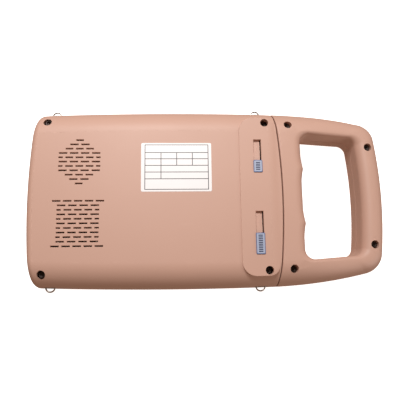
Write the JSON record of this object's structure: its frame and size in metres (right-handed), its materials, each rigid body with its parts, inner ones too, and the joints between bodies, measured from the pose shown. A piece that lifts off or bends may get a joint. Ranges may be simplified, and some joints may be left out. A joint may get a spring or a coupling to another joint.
{
  "type": "veterinary ultrasound scanner",
  "caption": "Flat handheld scanner in rose-beige plastic with a hand opening in its handle, slide controls, vents, strap loops, and a screen and keys on its front face",
  "frame": {"origin": "middle of the footprint, on the plane that the front face rests on", "axes": "+X towards the handle, +Y towards the long side with the round vent, +Z out of the rear face, away from the screen"},
  "size_m": [0.3064, 0.1628, 0.0417],
  "materials": {
    "housing_plastic": "fine-grained rose-beige moulding",
    "label_film": "smooth white film",
    "screw_steel": "blackened steel",
    "loop_steel": "drawn wire",
    "knob_plastic": "pale blue moulding",
    "part_plastic": "black moulding",
    "window_glass": "dark polished window",
    "seal_rubber": "black foam rubber",
    "display_panel": "grey panel",
    "sheet_aluminium": "plain sheet",
    "cable_film": "amber film",
    "key_rubber": "light grey silicone",
    "power_rubber": "red silicone",
    "mat_rubber": "clear grey silicone",
    "circuit_board": "green lacquered board",
    "small_steel": "zinc plated",
    "tinned_steel": "tinned sheet",
    "spacer_brass": "turned brass",
    "battery_wrap": "blue shrink wrap",
    "foam_rubber": "soft foam strip",
    "rotor_plastic": "dark grey moulding",
    "socket_metal": "nickel plated"
  },
  "bodies": {
    "scanner": {"rear_cover": "housing_plastic", "handle_cover": "housing_plastic", "front_housing": "housing_plastic", "rating_label": "label_film", "body_screws": "screw_steel", "handle_screws": "screw_steel", "strap_lugs": "loop_steel", "slide_pots": "part_plastic", "display_window": "window_glass", "display_gasket": "seal_rubber", "display_module": "display_panel", "display_frame": "sheet_aluminium", "display_cable": "cable_film", "key_mat": "mat_rubber", "key_board": "circuit_board", "key_board_screws": "small_steel", "key_cable": "cable_film", "main_board": "circuit_board", "shield_can": "tinned_steel", "heat_sink": "sheet_aluminium", "board_spacers": "spacer_brass", "board_screws": "small_steel", "battery_tray": "sheet_aluminium", "battery_pack": "battery_wrap", "foam_strips": "foam_rubber", "fan_housing": "part_plastic", "fan_screws": "small_steel", "loudspeaker": "part_plastic", "probe_socket": "socket_metal", "probe_nut": "socket_metal", "port_board": "circuit_board", "charge_jack": "part_plastic", "usb_socket": "tinned_steel", "port_screws": "small_steel"},
    "strap_loop_1_body": {"strap_loop_1": "loop_steel"},
    "strap_loop_2_body": {"strap_loop_2": "loop_steel"},
    "strap_loop_3_body": {"strap_loop_3": "loop_steel"},
    "strap_loop_4_body": {"strap_loop_4": "loop_steel"},
    "upper_slider_body": {"upper_slider": "knob_plastic"},
    "lower_slider_body": {"lower_slider": "knob_plastic"},
    "key_1_body": {"key_1": "key_rubber"},
    "key_2_body": {"key_2": "key_rubber"},
    "key_3_body": {"key_3": "key_rubber"},
    "key_4_body": {"key_4": "key_rubber"},
    "key_5_body": {"key_5": "key_rubber"},
    "key_6_body": {"key_6": "key_rubber"},
    "key_7_body": {"key_7": "key_rubber"},
    "key_8_body": {"key_8": "key_rubber"},
    "power_key_body": {"power_key": "power_rubber"},
    "fan_rotor_body": {"fan_rotor": "rotor_plastic"}
  },
  "joints": [
    {"name": "upper_slider_slide", "type": "slide", "parent": "scanner", "child": "upper_slider_body", "axis": [0, 1, 0], "range_m": [0, 0.0184]},
    {"name": "lower_slider_slide", "type": "slide", "parent": "scanner", "child": "lower_slider_body", "axis": [0, 1, 0], "range_m": [0, 0.0184]},
    {"name": "strap_loop_1_hinge", "type": "hinge", "parent": "scanner", "child": "strap_loop_1_body", "pos_m": [-0.13475, 0.07534, 0.0212], "axis": [1, 0, 0], "range_deg": [-60, 60]},
    {"name": "strap_loop_2_hinge", "type": "hinge", "parent": "scanner", "child": "strap_loop_2_body", "pos_m": [-0.13475, -0.07534, 0.0212], "axis": [1, 0, 0], "range_deg": [-60, 60]},
    {"name": "strap_loop_3_hinge", "type": "hinge", "parent": "scanner", "child": "strap_loop_3_body", "pos_m": [0.04375, 0.07685, 0.0212], "axis": [1, 0, 0], "range_deg": [-60, 60]},
    {"name": "strap_loop_4_hinge", "type": "hinge", "parent": "scanner", "child": "strap_loop_4_body", "pos_m": [0.04375, -0.07685, 0.0212], "axis": [1, 0, 0], "range_deg": [-60, 60]},
    {"name": "key_1_press", "type": "slide", "parent": "scanner", "child": "key_1_body", "axis": [0, 0, 1], "range_m": [0, 0.001], "stiffness_N_per_m": 600, "springref_m": -0.0006},
    {"name": "key_2_press", "type": "slide", "parent": "scanner", "child": "key_2_body", "axis": [0, 0, 1], "range_m": [0, 0.001], "stiffness_N_per_m": 600, "springref_m": -0.0006},
    {"name": "key_3_press", "type": "slide", "parent": "scanner", "child": "key_3_body", "axis": [0, 0, 1], "range_m": [0, 0.001], "stiffness_N_per_m": 600, "springref_m": -0.0006},
    {"name": "key_4_press", "type": "slide", "parent": "scanner", "child": "key_4_body", "axis": [0, 0, 1], "range_m": [0, 0.001], "stiffness_N_per_m": 600, "springref_m": -0.0006},
    {"name": "key_5_press", "type": "slide", "parent": "scanner", "child": "key_5_body", "axis": [0, 0, 1], "range_m": [0, 0.001], "stiffness_N_per_m": 600, "springref_m": -0.0006},
    {"name": "key_6_press", "type": "slide", "parent": "scanner", "child": "key_6_body", "axis": [0, 0, 1], "range_m": [0, 0.001], "stiffness_N_per_m": 600, "springref_m": -0.0006},
    {"name": "key_7_press", "type": "slide", "parent": "scanner", "child": "key_7_body", "axis": [0, 0, 1], "range_m": [0, 0.001], "stiffness_N_per_m": 600, "springref_m": -0.0006},
    {"name": "key_8_press", "type": "slide", "parent": "scanner", "child": "key_8_body", "axis": [0, 0, 1], "range_m": [0, 0.001], "stiffness_N_per_m": 600, "springref_m": -0.0006},
    {"name": "power_key_press", "type": "slide", "parent": "scanner", "child": "power_key_body", "axis": [0, 0, 1], "range_m": [0, 0.001], "stiffness_N_per_m": 600, "springref_m": -0.0006},
    {"name": "fan_spin", "type": "hinge", "parent": "scanner", "child": "fan_rotor_body", "pos_m": [-0.11, -0.0234, 0.03], "axis": [0, 0, 1], "continuous": true}
  ]
}
